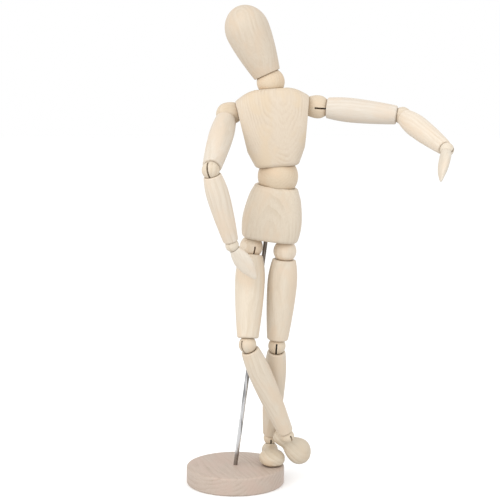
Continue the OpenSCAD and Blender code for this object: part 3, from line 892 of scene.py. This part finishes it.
def foot_ring(x, half_width, centre_y, low, high, count=48):
    """One section across the foot: round towards the ankle, and flat towards the sole."""
    middle = (low + high) / 2
    half_height = (high - low) / 2
    ring = []
    for i in range(count):
        angle = 2 * math.pi * i / count
        c = math.cos(angle)
        s = math.sin(angle)
        power = FOOT_ROUND if s < 0 else FOOT_FLAT
        ring.append((
            x,
            centre_y + half_width * math.copysign(abs(c) ** (2 / FOOT_SIDES), c),
            middle + half_height * math.copysign(abs(s) ** (2 / power), s),
        ))
    return ring


def make_foot(side, number):
    """A carved foot: +Z points down to the sole and +X to the toes."""
    lean = 1.6 if side == "left" else -1.6
    sole = 13.7
    # Place along the foot, half-width, middle, and the heights of its under and upper side
    knots = [
        (-5.5, 1.5, 0.0, 10.8, 7.6),
        (-4.9, 3.0, 0.0, 11.9, 6.0),
        (-3.4, 4.6, 0.0, sole - 0.2, 4.0),
        (-1.2, 5.3, 0.0, sole, 2.8),
        (2.0, 5.0, 0.1 * lean, sole, 2.7),
        (5.2, 5.0, 0.5 * lean, sole, 3.9),
        (8.6, 6.9, 0.8 * lean, sole, 4.3),
        (12.6, 8.2, 1.0 * lean, sole, 4.1),
        (17.0, 7.8, 1.0 * lean, sole, 4.7),
        (20.6, 5.4, 1.0 * lean, sole - 0.2, 6.5),
        (22.4, 2.4, 1.0 * lean, sole - 1.4, 8.6),
    ]
    rows = smooth_sections(knots, count=44)
    rings = [foot_ring(x, half, middle, upper, under) for x, half, middle, under, upper in rows]
    first, last = rows[0], rows[-1]
    beyond = 0.2
    heel_tip = (first[0] - beyond, 0, (first[3] + first[4]) / 2)
    toe_tip = (last[0] + beyond, last[2], (last[3] + last[4]) / 2)
    piece = to_object(f"{side}_foot_wood", loft(rings, heel_tip, toe_tip))
    cut(piece, ball_tool(BALLS["ankle"]["d"] / 2 + CUP_GAP, 0, sides=64))
    place = end_place(side, "ankle", f"{side}_foot_twist", f"{side}_foot", FOOT_TWIST[side])
    shift = (6, 10, number * 13)
    tint = piece_tint(number, TONES_AND_PAINTED_LIGHT["foot"])
    finish_piece(piece, f"{side}_foot", place, LIMB_WOOD, (0, 88), shift, tint)


def set_material(node, material):
    data = frame["nodes"][node].data
    data.materials.clear()
    data.materials.append(material)


# ---- The studio ----

def make_camera():
    data = bpy.data.cameras.new("camera")
    data.lens = CAMERA["lens"]
    data.sensor_width = CAMERA["sensor"]
    camera = bpy.data.objects.new("camera", data)
    camera.location = CAMERA["place"]
    camera.rotation_euler = (math.radians(90 - CAMERA["look_down"]), 0, 0)
    bpy.context.scene.collection.objects.link(camera)
    bpy.context.scene.camera = camera


def make_floor():
    mesh = bmesh.new()
    bmesh.ops.create_grid(mesh, x_segments=1, y_segments=1, size=FLOOR["half_size"])
    floor = to_object("floor", mesh)
    floor.location = (0, 0, -FLOOR["drop"])
    n = Nodes("floor_white")
    white = FLOOR["white"]
    n.shader.inputs["Base Color"].default_value = (white, white, white, 1)
    n.shader.inputs["Roughness"].default_value = FLOOR["rough"]
    n.shader.inputs["Specular IOR Level"].default_value = FLOOR["specular"]
    n.shader.inputs["Emission Color"].default_value = (1, 1, 1, 1)
    n.shader.inputs["Emission Strength"].default_value = FLOOR["glow"]
    floor.data.materials.append(n.material)
    floor.visible_diffuse = False
    floor.visible_glossy = False


def make_light(name, settings):
    data = bpy.data.lights.new(name, "AREA")
    data.size = settings["size"]
    data.energy = settings["power"]
    data.color = settings["colour"]
    light = bpy.data.objects.new(name, data)
    light.location = settings["place"]
    direction = Vector(LIGHT_TARGET) - Vector(settings["place"])
    light.rotation_euler = direction.to_track_quat("-Z", "Y").to_euler()
    bpy.context.scene.collection.objects.link(light)


def make_world():
    """White all round above the floor, and dimmer below it, as a table would be."""
    world = bpy.data.worlds.new("studio")
    world.use_nodes = True
    tree = world.node_tree
    background = tree.nodes["Background"]
    place = tree.nodes.new("ShaderNodeTexCoord")
    parts = tree.nodes.new("ShaderNodeSeparateXYZ")
    level = tree.nodes.new("ShaderNodeMapRange")
    level.inputs["From Min"].default_value = WORLD_DIMS_TO
    level.inputs["From Max"].default_value = WORLD_DIMS_FROM
    level.inputs["To Min"].default_value = BELOW_FLOOR
    level.inputs["To Max"].default_value = 1.0
    tree.links.new(place.outputs["Generated"], parts.inputs["Vector"])
    tree.links.new(parts.outputs["Z"], level.inputs["Value"])
    tree.links.new(level.outputs["Result"], background.inputs["Color"])
    bpy.context.scene.world = world


def make_lights():
    make_light("key", KEY_LIGHT)
    make_light("fill", FILL_LIGHT)
    bpy.context.scene.view_settings.view_transform = "Standard"
    bpy.context.scene.view_settings.look = "None"


# ---- Building it all ----

make_camera()
make_floor()
make_world()
make_lights()

make_base()
make_pelvis()
make_chest()
hip_at = joint_at("left_hip_swing")
waist_at = joint_at("waist_side_bend")
make_torso_ball("waist_ball_wood", "waist_ball", "waist_side_bend", WAIST_BALL, hip_at, (3, 9, 0))
make_torso_ball("neck_ball_wood", "neck_ball", "neck_side_tilt", NECK_BALL, waist_at, (9, 4, 20))
make_head()

ABOVE = {
    "shoulder": "chest",
    "elbow": "upper_arm",
    "wrist": "forearm",
    "hip": "pelvis",
    "knee": "thigh",
    "ankle": "shin",
}
for side_number, side in enumerate(SIDES):
    for joint_number, (joint, above) in enumerate(ABOVE.items()):
        node_above = above if above in ("chest", "pelvis") else f"{side}_{above}"
        make_ball(side, joint, node_above, 6 * side_number + joint_number + 1)
    for limb_number, limb in enumerate(LIMBS):
        make_limb(side, limb, 4 * side_number + limb_number + 2)
    make_hand(side, 21 + side_number)
    make_foot(side, 31 + side_number)

set_material("rod", ROD_STEEL)
for node in frame["nodes"]:
    if node.endswith(("_pin", "_tongue", "_spring", "_link")):
        set_material(node, DARK_STEEL)
